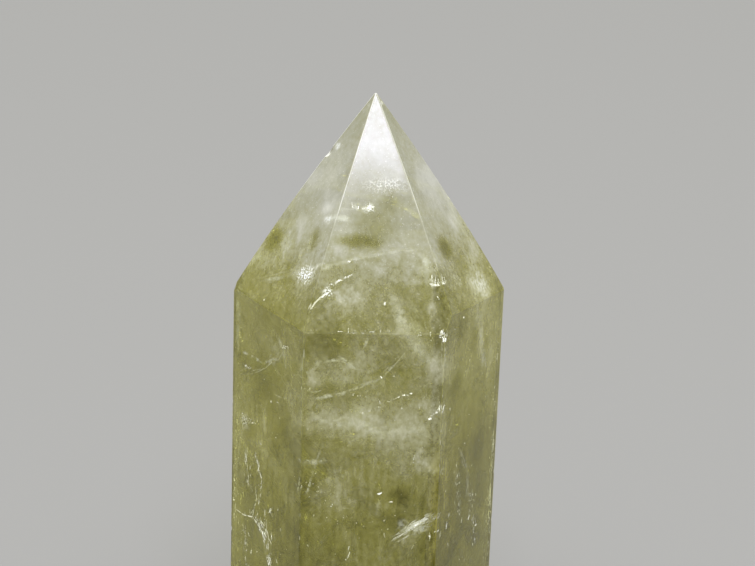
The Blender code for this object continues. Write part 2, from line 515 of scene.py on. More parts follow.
def haze_over(look):
    """How milky the quartz is just under its surface, from 0, clear, to 1, white."""
    height = look.along("Z")
    broad = look.clouds(look.place(), 75, detail=2, distortion=0.4)
    curls = look.clouds(look.place((1, 1, 0.75), (0.3, 0.5, 0)), 180, detail=5, roughness=0.6, distortion=0.4)
    fine = look.clouds(look.place((1, 1, 0.7), (0.2, 0.5, 0)), 1500, detail=2, roughness=0.6)
    specks = look.clouds(look.place(), 4800, detail=1).ramp(0.66, 0.76)
    streaks = look.clouds(look.place((1, 1, 0.2), (0, 0.55, 0)), 1200, detail=2)
    haze = 0.31 + 0.03 * height.ramp(*UPPER_BODY) + 0.16 * height.ramp(*MILKY_TIP)
    haze -= 0.08 * height.ramp(*LOWER_BODY)
    calm = 1 - 0.6 * height.ramp(*CALM_TIP)
    haze += (0.42 * (broad - 0.5) + 0.44 * (curls - 0.5) + 0.38 * (fine - 0.5)) * calm + 0.20 * specks
    streaky = 0.34 + 0.40 * look.along("X").ramp(*RIGHT_FACES)
    haze += streaky * (streaks - 0.5) * height.ramp(*STREAKY_BODY)
    haze += spots_over(look, HAZE_SPOTS) * (0.65 + 0.65 * curls.ramp(0.32, 0.62))
    return haze.clamped()


def clear_quartz(look):
    return look.node(
        "ShaderNodeBsdfPrincipled",
        Base_Color=(1, 1, 1, 1),
        Roughness=0.0,
        IOR=QUARTZ_IOR,
        Transmission_Weight=1.0,
    )


def yellow_tint(look):
    """The stone's own colour, which deepens as light goes further through it."""
    return look.node("ShaderNodeVolumeAbsorption", Color=(0.68, 0.665, 0.0, 1), Density=92.0)


def cloudy_quartz(look, thicker=0.0):
    """Clear quartz that turns milky where the haze is thick, and yellower towards the left and the right."""
    haze = haze_over(look)
    amber = look.along("X").ramp(*RIGHT_FACES) * look.along("Z").ramp(*AMBER_BODY)
    lint = look.clouds(look.place(), 1900, detail=4, roughness=0.65).ramp(0.24, 0.70)
    cotton = spots_over(look, COTTON_SPOTS) * lint
    grit = spots_over(look, GRIT_SPOTS) * look.clouds(look.place(), 4200, detail=1).ramp(0.50, 0.60)
    white = (cotton + grit).clamped()
    aside = abs(look.along("X")).ramp(*BOTH_SIDES)
    up = look.along("Z").ramp(*PALE_TIP)
    deep = look.blend(aside, DEEP_FRONT, DEEP_ASIDE)
    pale = look.blend(aside, PALE_FRONT, PALE_ASIDE)
    pale = look.blend(up, pale, PALE_UP)
    deep = look.blend(amber, deep, DEEP_AMBER)
    pale = look.blend(amber, pale, PALE_AMBER)
    shade = look.blend(white, look.blend(haze.ramp(0.15, 0.70), deep, pale), COTTON_WHITE)
    # The grit's painted glow: emission that makes it shine, though it is no lamp.
    painted_glow = look.blend(grit.clamped(), NO_GLOW, GRIT_PAINTED_GLOW)
    milky = look.node(
        "ShaderNodeBsdfPrincipled",
        Base_Color=shade,
        Roughness=0.0,
        IOR=QUARTZ_IOR,
        Emission_Color=painted_glow,
        Emission_Strength=0.40,
    )
    share = haze + white + 0.14 * amber + thicker
    return look.mix(share.clamped(), clear_quartz(look), milky)


def stone_look():
    look = Shader("polished_citrine")
    return look.finish(cloudy_quartz(look), yellow_tint(look))


def edge_look():
    """Rounded edges: as the stone is, but less clear."""
    look = Shader("rounded_edges")
    return look.finish(cloudy_quartz(look, 0.16), yellow_tint(look))


def worn_look():
    """Worn edges and chips: bruised pale near the tip and in short dashes elsewhere."""
    look = Shader("worn_edges")
    dashes = look.clouds(look.place(), 520, detail=3).ramp(0.60, 0.66)
    bruised = 0.9 * look.along("Z").ramp(*BRUISED_TIP) + 0.55 * dashes
    frost = look.node("ShaderNodeBsdfPrincipled", Base_Color=BRUISE, Roughness=0.4, IOR=QUARTZ_IOR)
    return look.finish(look.mix(bruised.clamped(), cloudy_quartz(look, 0.08), frost), yellow_tint(look))


def give_finishes(mesh):
    """Gives each face its finish. The chips are worn, and so is one side of each edge."""
    for face in mesh.polygons:
        straightest = float(np.max(FLATS[:, :3] @ np.array(face.normal)))
        corners = [mesh.vertices[number].co for number in face.vertices]
        longest = max((a - b).length for a, b in zip(corners, corners[1:] + corners[:1]))
        turned_right = face.normal.cross(face.center).z < 0
        worn = straightest < math.cos(WORN_FROM) and (turned_right or longest < CHIP_FACET)
        rounded = straightest < math.cos(EDGE_FROM) and face.area < longest * EDGE_STRIP
        face.material_index = WORN if worn else ROUNDED if rounded else POLISHED


def polished_stone():
    """The stone's own solid, welded and smoothed over its gently domed flats."""
    deselect()
    stone = bpy.data.objects.new("polished_stone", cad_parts["crystal_point"].data.copy())
    bpy.context.scene.collection.objects.link(stone)
    bpy.context.view_layer.objects.active = stone
    stone.select_set(True)
    bpy.ops.object.mode_set(mode="EDIT")
    bpy.ops.mesh.select_all(action="SELECT")
    bpy.ops.mesh.remove_doubles(threshold=WELD)
    bpy.ops.object.mode_set(mode="OBJECT")
    bpy.ops.object.shade_smooth_by_angle(angle=FLAT_TURN)
    stone.data.materials.clear()
    for material in (stone_look(), edge_look(), worn_look()):
        stone.data.materials.append(material)
    give_finishes(stone.data)
    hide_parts("crystal_point")
    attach(stone, "root")


# ---------------------------------------------------------------- what repeats inside

# Zones of the stone: their middle and half sizes in millimetres. What falls outside the stone is left out.
WHOLE_STONE = ((0, 0, 52), (24, 24, 62))
UPRIGHT_PART = ((0, 0, 40), (24, 24, 46))
TIP = ((0, 0, 93), (16, 16, 16))
LOWER_HALF = ((0, 0, 26), (22, 22, 30))

SHALLOW = 0.003  # what lies no deeper than this shows through the surface haze


def lay_flat_map(piece):
    """Gives a flake a map with its middle at the middle, as seen from its flat side."""
    mesh = piece.data
    while mesh.uv_layers:
        mesh.uv_layers.remove(mesh.uv_layers[0])
    layer = mesh.uv_layers.new(name="UVMap")
    corners = np.empty(len(mesh.loops), np.int32)
    mesh.loops.foreach_get("vertex_index", corners)
    spots = np.empty(len(mesh.vertices) * 3)
    mesh.vertices.foreach_get("co", spots)
    flat = spots.reshape(-1, 3)[corners, :2] * 0.5 + 0.5
    layer.data.foreach_set("uv", flat.ravel())


def puff_pattern():
    """A flat lens one unit in radius: the shape of a puff of tiny bubbles."""
    deselect()
    height = 0.10
    middle = (0, 0, height / 2)
    shape = {"vertices": 8, "radius1": 1, "depth": height, "end_fill_type": "NOTHING"}
    bpy.ops.mesh.primitive_cone_add(**shape, location=middle)
    lens = bpy.context.object
    bpy.ops.object.transform_apply(location=True, rotation=True, scale=True)
    lens.modifiers.new("other_side", "MIRROR").use_axis = (False, False, True)
    bpy.ops.object.modifier_apply(modifier="other_side")
    lay_flat_map(lens)
    return lens


def wisp_pattern(seed):
    """A long curled flake, two units in length and in width before it is scaled."""
    deselect()
    bpy.ops.mesh.primitive_grid_add(x_subdivisions=6, y_subdivisions=2, size=2)
    flake = bpy.context.object
    lay_flat_map(flake)
    shift = Vector((seed * 3.7, seed * 1.3, 0))  # each seed has its own part of the ripple
    ripple = bpy.data.textures.new("ripple", "CLOUDS")
    ripple.noise_scale = 0.9
    bpy.ops.object.mode_set(mode="EDIT")
    bpy.ops.mesh.select_all(action="SELECT")
    bpy.ops.transform.translate(value=shift)
    bpy.ops.object.mode_set(mode="OBJECT")
    bend = flake.modifiers.new("ripple", "DISPLACE")
    bend.texture = ripple
    bend.strength = 0.7
    bpy.ops.object.modifier_apply(modifier="ripple")
    bpy.ops.object.mode_set(mode="EDIT")
    bpy.ops.mesh.select_all(action="SELECT")
    bpy.ops.transform.translate(value=-shift)
    bpy.ops.object.mode_set(mode="OBJECT")
    wall = flake.modifiers.new("wall", "SOLIDIFY")
    wall.thickness = 0.02
    wall.offset = 0
    bpy.ops.object.modifier_apply(modifier="wall")
    return flake


def join(parts, name, material):
    """Makes one piece of all the parts."""
    deselect()
    for part in parts:
        part.select_set(True)
    bpy.context.view_layer.objects.active = parts[0]
    bpy.ops.object.join()
    piece = bpy.context.view_layer.objects.active
    piece.name = name
    piece.data.materials.clear()
    piece.data.materials.append(material)
    bpy.ops.object.shade_smooth()
    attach(piece, "root")


def join_copies(name, patterns, places, material):
    """Makes one piece of copies of the patterns; a place is a matrix and the copy's strength."""
    made = []
    for number, (matrix, strength) in enumerate(places):
        mesh = patterns[number % len(patterns)].data.copy()
        mesh.transform(matrix)
        if matrix.determinant() < 0:
            mesh.flip_normals()
        stored = mesh.attributes.new("strength", "FLOAT", "POINT")
        stored.data.foreach_set("value", [strength] * len(mesh.vertices))
        copy = bpy.data.objects.new(name, mesh)
        bpy.context.scene.collection.objects.link(copy)
        made.append(copy)
    join(made, name, material)


def discard(patterns):
    for pattern in patterns:
        bpy.data.objects.remove(pattern)


def random_turn(draw):
    """An even spread of directions in space."""
    height = draw.uniform(-1, 1)
    around = draw.uniform(0, math.tau)
    wide = math.sqrt(1 - height * height)
    return Vector((wide * math.cos(around), wide * math.sin(around), height))


def near(draw, middle, spread):
    """A unit vector within about that spread of the middle one."""
    return (middle + random_turn(draw) * spread * draw.random()).normalized()


def frame_of(long_axis, facing):
    """Long, wide and facing axes at right angles, the long one kept."""
    wide_axis = facing.cross(long_axis).normalized()
    return long_axis, wide_axis, long_axis.cross(wide_axis)


def seat(spot, long_axis, wide_axis, out, length, narrow):
    """The matrix that lays a pattern at a spot, scaled to a half length and to a share of it in width."""
    matrix = Matrix([(long_axis * length)[:], (wide_axis * length * narrow)[:], (out * length * narrow)[:]])
    matrix = matrix.transposed().to_4x4()
    matrix.translation = spot
    return matrix


def flake_seat(draw, spot, along, face, size, aspect):
    """A random size and shape for a flake at a spot, or nothing where the stone has no room for it."""
    if depth_of(spot) < 1.5 * SKIN or abs(along.dot(face)) > 0.95:
        return None
    narrow = draw.uniform(*aspect)
    long_axis, wide_axis, out = frame_of(along, face)
    length = min(draw.uniform(*size) * MM, room_at(spot, long_axis, wide_axis, narrow))
    if length < 0.3 * size[0] * MM:
        return None
    return seat(spot, long_axis, wide_axis, out, length, narrow)


def scatter(draw, count, zone, size, aspect, strength, grain=None, spread=0.5, deepest=1.0):
    """Random places for flakes in a zone of the stone, laid roughly along the grain where there is one."""
    centre, half = zone
    places = []
    while len(places) < count:
        ball = random_turn(draw) * draw.random() ** (1 / 3)
        spot = at(*centre) + at(*(b * h for b, h in zip(ball, half)))
        along = near(draw, grain, spread) if grain else random_turn(draw)
        matrix = flake_seat(draw, spot, along, random_turn(draw), size, aspect)
        if matrix and depth_of(spot) < deepest:
            places.append((matrix, draw.uniform(*strength)))
    return places


def strew(draw, count, path, width, size, aspect, strength, spread=0.25):
    """Random places for flakes along a path of points in millimetres, laid end to end with its run."""
    spots = [at(*point) for point in path]
    places = []
    for _ in range(count):
        run = draw.random() * (len(spots) - 1)
        leg = min(int(run), len(spots) - 2)
        start, stop = spots[leg], spots[leg + 1]
        spot = start.lerp(stop, run - leg) + random_turn(draw) * draw.random() * width * MM
        along = near(draw, (stop - start).normalized(), spread)
        matrix = flake_seat(draw, spot, along, near(draw, TOWARDS_FRONT, 0.6), size, aspect)
        if matrix:
            places.append((matrix, draw.uniform(*strength)))
    return places


def turned_round(places):
    """The places, and all below the tip's upper half again, turned round to the back of the stone."""
    half_turn = Matrix.Rotation(math.pi, 4, "Z")
    below = [(matrix, strength) for matrix, strength in places if matrix.translation.z < UPPER_TIP]
    return places + [(half_turn @ matrix, strength) for matrix, strength in below]


# ---------------------------------------------------------------- mist


def mist_look():
    look = Shader("mist")
    share = look.from_middle().ramp(0.92, 0.0) * look.attribute("strength")
    return look.finish(look.milk(share))


def mist():
    """Soft puffs of tiny bubbles that make the whole stone milky, most of all its tip."""
    draw = random.Random(5)
    places = scatter(draw, 190, WHOLE_STONE, (3.2, 7.5), (0.5, 1.0), (0.18, 0.58))
    places += scatter(draw, 60, TIP, (2.0, 4.5), (0.5, 1.0), (0.18, 0.52))
    pattern = puff_pattern()
    join_copies("mist", [pattern], places, mist_look())
    discard([pattern])


# ---------------------------------------------------------------- wisps


def wisp_look():
    look = Shader("wisps")
    torn = look.clouds(look.place(), 700, detail=3, distortion=0.8)
    share = look.from_middle().ramp(1.0, 0.35) * torn.ramp(0.40, 0.62) * look.attribute("strength")
    return look.finish(look.milk(share))


def wisps():
    draw = random.Random(8)
    places = scatter(draw, 130, WHOLE_STONE, (3.0, 8.0), (0.25, 0.5), (0.2, 0.6))
    patterns = [wisp_pattern(seed) for seed in range(4)]
    join_copies("wisps", patterns, places, wisp_look())
    discard(patterns)


# ---------------------------------------------------------------- cloud patches

# White clouds: middle and half sizes in millimetres, how many flakes, their sizes in millimetres, their
# strengths and their grain.
CLOUD_PATCHES = [
    ((16.0, -5.2, 80.4), (2.2, 1.2, 1.8), 40, (0.5, 1.4), (0.35, 0.9), None),
    ((12.3, -8.8, 82.6), (1.6, 0.8, 1.2), 18, (0.4, 1.2), (0.3, 0.7), None),
    ((-5.0, -8.2, 92.2), (1.7, 0.3, 0.45), 34, (0.4, 1.1), (0.4, 0.9), (1, 0, 0.1)),
    ((-1.6, -7.5, 93.8), (1.9, 0.3, 0.7), 20, (0.3, 0.9), (0.3, 0.8), None),
    ((-6.3, -7.7, 92.4), (0.6, 0.3, 0.6), 10, (0.3, 0.8), (0.5, 0.9), None),
    ((-12.0, -2.8, 86.5), (1.4, 1.4, 2.0), 22, (0.8, 2.0), (0.2, 0.5), None),
    ((-9.3, -6.2, 86.6), (1.2, 1.0, 2.4), 18, (0.7, 1.8), (0.2, 0.5), (0, 0, 1)),
    ((8.5, -10.4, 86.4), (2.2, 1.0, 2.6), 24, (0.7, 2.0), (0.2, 0.5), (0.6, 0, -1)),
    ((9.3, -12.9, 83.9), (1.8, 0.5, 1.0), 16, (0.3, 0.9), (0.3, 0.7), None),
    ((5.4, -12.4, 76.4), (3.0, 1.2, 4.2), 22, (1.5, 3.6), (0.12, 0.35), (0.55, -0.2, -0.8)),
    ((-6.0, -13.4, 70.5), (3.6, 1.4, 2.2), 18, (0.8, 2.6), (0.12, 0.35), None),
    ((0.0, -12.0, 61.5), (9.0, 2.5, 2.6), 34, (1.5, 3.8), (0.12, 0.32), (1, 0, 0.15)),
    ((-8.3, -15.2, 56.1), (1.5, 0.3, 0.5), 10, (0.5, 1.3), (0.25, 0.5), (1, 0, 0.2)),
    ((-14.0, -8.8, 71.0), (2.0, 1.5, 3.0), 14, (0.8, 2.0), (0.1, 0.3), (0.6, 0, 0.8)),
    ((7.2, -16.6, 45.4), (2.6, 0.5, 1.0), 26, (0.5, 1.4), (0.3, 0.6), (0.9, 0, 0.6)),
    ((7.9, -15.2, 56.6), (1.6, 0.4, 1.9), 26, (0.4, 0.9), (0.2, 0.5), None),
    ((10.0, -15.4, 54.8), (0.9, 0.4, 0.8), 12, (0.3, 0.7), (0.3, 0.6), (0.6, 0, 0.7)),
]

# Thin veils: their path and how far flakes stray from it in millimetres, how many flakes, their sizes, their
# widths as shares of those, and their strengths.
VEILS = [
    (
        ((-17.5, -2.0, 79.3), (-13.6, -5.6, 81.3), (-10.4, -8.5, 83.4)),
        0.45, 26, (0.8, 1.8), (0.15, 0.4), (0.15, 0.4),
    ),
    (
        ((-10.4, -8.5, 83.4), (-7.4, -10.0, 84.9), (-3.6, -11.2, 86.8)),
        0.5, 30, (0.8, 1.8), (0.15, 0.4), (0.2, 0.5),
    ),
    (
        ((-3.6, -11.2, 86.8), (1.5, -10.8, 87.9), (6.2, -10.2, 88.2)),
        0.35, 26, (0.8, 2.0), (0.12, 0.3), (0.2, 0.5),
    ),
    (
        ((7.4, -8.0, 91.0), (10.8, -5.0, 89.6), (13.6, -2.8, 86.0)),
        0.4, 22, (0.6, 1.5), (0.2, 0.5), (0.2, 0.5),
    ),
    (
        ((7.0, -9.6, 90.6), (7.2, -10.4, 88.6), (7.8, -11.6, 86.0)),
        0.5, 20, (0.8, 2.0), (0.2, 0.5), (0.3, 0.6),
    ),
    (
        ((3.0, -14.2, 81.6), (4.3, -15.6, 78.0), (6.8, -15.9, 75.0), (9.0, -15.6, 72.0)),
        1.2, 44, (1.2, 2.8), (0.25, 0.6), (0.1, 0.3),
    ),
    (
        ((14.8, -7.0, 79.0), (16.2, -6.0, 73.0), (17.4, -4.6, 66.5)),
        0.9, 34, (1.2, 3.0), (0.2, 0.5), (0.15, 0.45),
    ),
    (
        ((-8.9, -15.4, 63.9), (-7.2, -15.6, 62.6), (-4.4, -15.6, 62.2), (-2.2, -15.4, 63.0)),
        0.40, 22, (0.5, 1.4), (0.2, 0.5), (0.2, 0.5),
    ),
    (
        ((-8.2, -15.2, 66.6), (-4.8, -15.4, 67.3), (-1.8, -15.4, 68.6), (0.2, -15.4, 69.6)),
        0.30, 26, (0.6, 1.6), (0.15, 0.35), (0.2, 0.5),
    ),
    (
        ((-9.4, -15.0, 71.0), (-7.6, -15.0, 72.6), (-4.6, -15.0, 73.0), (-2.8, -15.0, 71.6)),
        0.3, 26, (0.6, 1.4), (0.15, 0.4), (0.2, 0.5),
    ),
    (
        ((-2.2, -14.6, 71.4), (-1.6, -14.8, 74.0), (-0.8, -15.0, 77.0)),
        0.25, 14, (0.6, 1.6), (0.1, 0.25), (0.2, 0.5),
    ),
    (
        ((0.0, -16.0, 69.2), (1.6, -16.2, 70.6), (3.4, -16.2, 72.8)),
        0.25, 12, (0.4, 1.2), (0.12, 0.3), (0.2, 0.4),
    ),
    (
        ((-13.6, -10.0, 74.8), (-12.4, -11.4, 72.4), (-12.0, -11.9, 69.6)),
        0.5, 16, (0.6, 1.6), (0.2, 0.5), (0.15, 0.4),
    ),
    (
        ((-18.6, -1.6, 67.8), (-15.4, -7.0, 68.4), (-13.6, -10.0, 70.4)),
        0.3, 26, (0.5, 1.3), (0.15, 0.4), (0.3, 0.7),
    ),
    (
        ((-7.6, -14.6, 57.6), (-8.8, -14.6, 53.0), (-9.4, -14.6, 50.0)),
        0.3, 14, (0.8, 2.2), (0.08, 0.2), (0.15, 0.4),
    ),
    (
        ((-2.0, -14.6, 62.0), (2.0, -14.6, 60.6), (7.0, -14.6, 61.6)),
        1.0, 34, (1.2, 3.0), (0.2, 0.5), (0.1, 0.35),
    ),
    (
        ((13.0, -10.0, 56.0), (14.6, -7.6, 51.0), (15.2, -6.6, 45.0)),
        1.4, 34, (0.8, 2.4), (0.06, 0.2), (0.2, 0.5),
    ),
]


def cloud_look():
    look = Shader("cloud_patches")
    torn = look.clouds(look.place(), 1500, detail=4, roughness=0.6, distortion=0.5)
    share = look.from_middle().ramp(1.0, 0.2) * torn.ramp(0.38, 0.60) * look.attribute("strength")
    # The clouds also shine with a faint painted glow by emission, though they are no lamp.
    return look.finish(look.milk(share, (0.93, 0.95, 0.95, 1), 0.35))


def cloud_patches():
    draw = random.Random(33)
    places = []
    for middle, half, count, size, strength, grain in CLOUD_PATCHES:
        along = Vector(grain).normalized() if grain else None
        places += scatter(draw, count, (middle, half), size, (0.35, 0.9), strength, along, 0.35)
    for path, width, count, size, aspect, strength in VEILS:
        places += strew(draw, count, path, width, size, aspect, strength)
    patterns = [wisp_pattern(seed) for seed in range(4, 7)]
    join_copies("cloud_patches", patterns, turned_round(places), cloud_look())
    discard(patterns)


# ---------------------------------------------------------------- bright cracks

FACE_FLASH = direction(0, 21)  # a crack that faces this way mirrors the lamp out through an upright face
TIP_FLASH = direction(0, 32)  # and this way out through the tip's front face
TIP_FLASH_FROM = 89  # millimetres
FLASH_SPREAD = 0.08
# A crack's strength sets only how much painted glint it gives off.
CRACK_STRENGTH = 0.9
UPWARDS = Vector((0.25, 0, 1))

# Single cracks: middle in millimetres, half length, share of the length that is its width, tilt in degrees.
CRACKS = [
    ((-0.9, -8.0, 94.1), 1.00, 0.14, 86),
    ((-0.8, -8.1, 94.1), 1.05, 0.12, 12),
    ((-0.9, -8.1, 94.0), 0.85, 0.14, 48),
    ((-0.8, -8.1, 94.0), 0.85, 0.14, -42),
    ((-0.9, -8.1, 94.0), 0.45, 0.8, 30),
    ((-2.5, -8.1, 94.2), 0.60, 0.14, 75),
    ((-3.4, -8.0, 94.3), 0.70, 0.13, 100),
    ((-1.7, -8.2, 94.0), 0.30, 0.25, 60),
    ((-0.4, -6.4, 97.5), 0.36, 0.25, -14),
    ((0.1, -6.5, 97.2), 0.24, 0.4, 25),
    ((1.3, -6.3, 97.5), 0.24, 0.4, 10),
    ((3.4, -6.0, 97.8), 0.30, 0.30, 70),
    ((3.6, -5.8, 98.0), 0.26, 0.3, 55),
    ((-3.9, -11.9, 86.9), 0.34, 0.4, 6),
    ((-7.7, -14.8, 82.4), 0.45, 0.30, 44),
    ((-6.9, -14.4, 82.9), 0.40, 0.30, 30),
    ((-5.6, -13.7, 84.3), 0.36, 0.25, 38),
    ((-3.7, -13.3, 85.2), 0.30, 0.30, 20),
    ((8.6, -12.3, 84.5), 0.80, 0.10, 92),
    ((9.1, -12.0, 84.0), 0.70, 0.10, 84),
    ((9.6, -11.8, 83.5), 0.60, 0.12, 96),
    ((9.1, -12.6, 83.5), 0.85, 0.22, 4),
    ((8.4, -13.4, 84.0), 0.30, 0.5, 20),
    ((9.5, -13.6, 81.9), 0.42, 0.30, -46),
    ((1.5, -14.9, 81.4), 0.36, 0.6, 90),
    ((12.9, -11.7, 78.3), 0.30, 0.6, -30),
    ((-15.6, -5.9, 77.9), 0.20, 0.7, 60),
    ((-5.1, -17.4, 77.9), 0.50, 0.08, 0),
    ((-0.4, -17.4, 77.9), 0.50, 0.14, 0),
    ((-3.9, -17.3, 78.0), 0.50, 0.10, 90),
    ((0.9, -17.3, 78.0), 0.30, 0.20, 80),
    ((10.0, -17.1, 77.8), 0.50, 0.6, 60),
    ((10.3, -17.0, 77.3), 0.45, 0.3, 40),
    ((10.3, -17.2, 76.8), 0.50, 0.3, 95),
    ((10.4, -17.1, 72.6), 0.20, 0.7, 60),
    ((1.2, -16.9, 70.6), 0.30, 0.5, -50),
    ((3.9, -16.9, 67.3), 0.22, 0.6, 10),
    ((4.8, -16.9, 67.7), 0.34, 0.4, 20),
    ((5.8, -16.8, 67.9), 0.26, 0.5, 15),
    ((4.5, -16.9, 65.4), 0.26, 0.3, 65),
    ((8.8, -17.3, 63.9), 0.34, 0.8, 10),
    ((10.2, -16.3, 65.4), 0.70, 0.12, 85),
    ((9.8, -16.4, 64.7), 0.34, 0.4, -20),
    ((1.6, -17.4, 51.3), 0.50, 0.45, 25),
    ((3.4, -17.4, 49.9), 0.32, 0.30, 5),
    ((-9.5, -17.0, 62.0), 0.16, 0.8, 0),
    ((-13.6, -10.6, 57.4), 0.14, 0.8, 0),
    ((7.4, -17.0, 45.8), 0.50, 0.30, 35),
    ((8.9, -17.0, 46.9), 0.30, 0.30, 15),
    ((10.4, -16.9, 44.7), 0.36, 0.28, 35),
    ((9.5, -17.2, 44.0), 0.26, 0.40, -20),
    ((11.9, -14.4, 44.3), 0.80, 0.12, 90),
    ((12.2, -13.8, 45.8), 0.50, 0.16, 66),
    ((16.0, -7.4, 42.2), 0.60, 0.25, 68),
    ((17.4, -4.9, 39.5), 0.36, 0.6, 30),
    ((-14.5, -9.9, 44.5), 0.50, 0.16, 62),
    ((-14.2, -10.5, 40.1), 0.80, 0.12, 92),
    ((-14.5, -9.9, 35.6), 0.90, 0.10, 98),
]

# Trails and clusters of specks: their path and how far specks stray in millimetres, how many, the largest's
# half length.
SPECK_TRAILS = [
    (((-10.3, -11.1, 83.5), (-9.2, -11.0, 85.1)), 0.22, 30, 0.14),
    (((-9.8, -11.5, 83.8), (-8.7, -11.5, 85.6)), 0.22, 34, 0.15),
    (((-9.3, -11.9, 84.3), (-8.1, -11.9, 86.1)), 0.22, 30, 0.14),
    (((-7.7, -14.4, 83.1), (-6.2, -13.9, 84.1)), 0.32, 44, 0.13),
    (((-7.8, -14.8, 82.5), (-6.5, -14.3, 83.3)), 0.22, 24, 0.15),
    (((-5.9, -13.8, 84.2), (-5.0, -13.6, 84.6), (-3.4, -13.2, 85.3)), 0.20, 34, 0.22),
    (((8.3, -13.3, 83.9), (9.9, -11.5, 83.5)), 0.70, 30, 0.14),
    (((-1.7, -8.2, 94.0), (-0.2, -8.1, 94.1)), 0.60, 40, 0.15),
    (((-6.8, -6.4, 93.4), (-5.1, -8.3, 93.9), (-1.4, -8.3, 94.1)), 0.45, 50, 0.13),
    (((-0.8, -6.3, 97.6), (1.3, -6.4, 97.4), (3.6, -6.0, 98.0)), 0.40, 34, 0.12),
    (((-0.5, -6.8, 96.2), (4.4, -6.6, 95.2)), 0.80, 30, 0.10),
    (((-4.6, -17.2, 78.0), (3.4, -17.2, 78.0)), 0.12, 16, 0.08),
    (((9.6, -17.1, 77.0), (10.7, -16.9, 77.8)), 0.40, 20, 0.13),
    (((6.0, -17.0, 79.4), (7.2, -17.0, 76.8), (12.0, -13.2, 78.0)), 0.90, 30, 0.12),
    (((-3.4, -16.8, 67.9), (2.2, -16.8, 66.6), (5.9, -16.8, 67.9)), 0.50, 34, 0.13),
    (((-1.8, -16.6, 64.6), (1.2, -16.6, 65.6)), 0.50, 20, 0.11),
    (((9.2, -16.6, 64.2), (10.4, -16.2, 65.6)), 0.50, 18, 0.15),
    (((-19.0, -2.2, 56.7), (-16.9, -5.7, 57.3)), 0.80, 44, 0.15),
    (((-13.1, -11.3, 72.8), (-11.8, -13.4, 73.5)), 0.45, 20, 0.17),
    (((-18.8, -2.1, 65.7), (-17.8, -4.0, 66.1)), 0.40, 18, 0.16),
    (((-9.2, -17.2, 53.6), (-5.0, -17.2, 47.0), (3.0, -17.2, 46.0)), 2.50, 50, 0.12),
    (((17.2, -5.0, 60.4), (10.9, -16.8, 57.0), (11.0, -16.6, 51.0)), 0.60, 16, 0.09),
    (((6.7, -16.3, 57.6), (6.6, -16.3, 56.0)), 0.12, 10, 0.12),
    (((15.4, -5.4, 80.4), (17.2, -3.7, 79.6)), 1.00, 50, 0.13),
]

# Brushes of long thin cracks, all laid along their path: the path and how far they stray in millimetres, how
# many, the longest's half length and the strongest's strength.
BRUSHES = [
    (((-5.9, -13.8, 84.2), (-5.0, -13.6, 84.6)), 0.15, 8, 0.5, 0.9),
    (((4.4, -16.2, 43.2), (5.8, -16.2, 44.3), (7.2, -16.2, 45.7), (9.2, -16.2, 47.0)), 0.80, 80, 1.1, 0.30),
    (((6.2, -16.6, 44.7), (8.6, -16.6, 46.8)), 0.35, 24, 0.8, 0.50),
    (((8.8, -17.0, 46.2), (10.6, -16.6, 47.4)), 0.70, 40, 0.6, 0.35),
    (((-18.6, -3.2, 52.2), (-17.9, -4.2, 45.3)), 1.10, 54, 0.6, 0.8),
    (((-16.9, -5.9, 52.5), (-15.9, -7.6, 48.5), (-16.4, -6.7, 42.0)), 0.90, 64, 0.6, 0.85),
    (((-16.4, -6.7, 41.2), (-15.2, -8.7, 38.8), (-14.2, -10.4, 34.6)), 1.20, 80, 0.7, 1.0),
    (((-18.4, -3.2, 38.0), (-18.0, -3.8, 30.0)), 1.50, 44, 0.6, 0.8),
    (((13.0, -11.4, 53.0), (13.8, -10.4, 44.0)), 1.20, 50, 0.6, 0.8),
    (((16.0, -7.0, 47.0), (17.4, -4.6, 36.0)), 1.60, 60, 0.6, 0.8),
]


# The cracks are white mirrors that the lamps light, and their grains also shine with a painted glint by
# emission, though they are no lamp.
def crack_look():
    look = Shader("bright_cracks")
    grains = look.clouds(look.place(), 6500, detail=2, roughness=0.6)
    whole = (1.05 - look.from_middle() + 1.6 * (grains - 0.5)).ramp(0.30, 0.60)
    painted_glint = look.blend(look.attribute("strength") * grains.ramp(0.35, 0.60), NO_GLOW, (0.88, 0.91, 1, 1))
    mirror = look.node(
        "ShaderNodeBsdfPrincipled",
        Base_Color=(0.95, 0.95, 0.93, 1),
        Roughness=0.25,
        Emission_Color=painted_glint,
        Emission_Strength=2.0,
        Alpha=whole,
    )
    return look.finish(mirror)


def crack_pattern(seed):
    """A thin crumpled flake one unit in radius."""
    deselect()
    bpy.ops.mesh.primitive_circle_add(vertices=9, radius=1, fill_type="TRIFAN")
    flake = bpy.context.object
    lay_flat_map(flake)
    bpy.ops.object.mode_set(mode="EDIT")
    bpy.ops.mesh.select_all(action="SELECT")
    bpy.ops.transform.vertex_random(offset=0.22, uniform=1, normal=0, seed=seed)
    bpy.ops.object.mode_set(mode="OBJECT")
    wall = flake.modifiers.new("wall", "SOLIDIFY")
    wall.thickness = 0.04
    wall.offset = 0
    bpy.ops.object.modifier_apply(modifier="wall")
    return flake


def crack_place(draw, middle, length, narrow, tilt):
    """Puts one crack at its place, tilted in the plane that faces the front and turned to catch the lamp."""
    facing = near(draw, TIP_FLASH if middle[2] > TIP_FLASH_FROM else FACE_FLASH, FLASH_SPREAD)
    right = Vector((0, 0, 1)).cross(facing).normalized()
    up = facing.cross(right)
    angle = math.radians(tilt)
    along = right * math.cos(angle) + up * math.sin(angle)
    long_axis, wide_axis, out = frame_of(along, facing)
    return seat(at(*middle), long_axis, wide_axis, out, length * MM, narrow), CRACK_STRENGTH


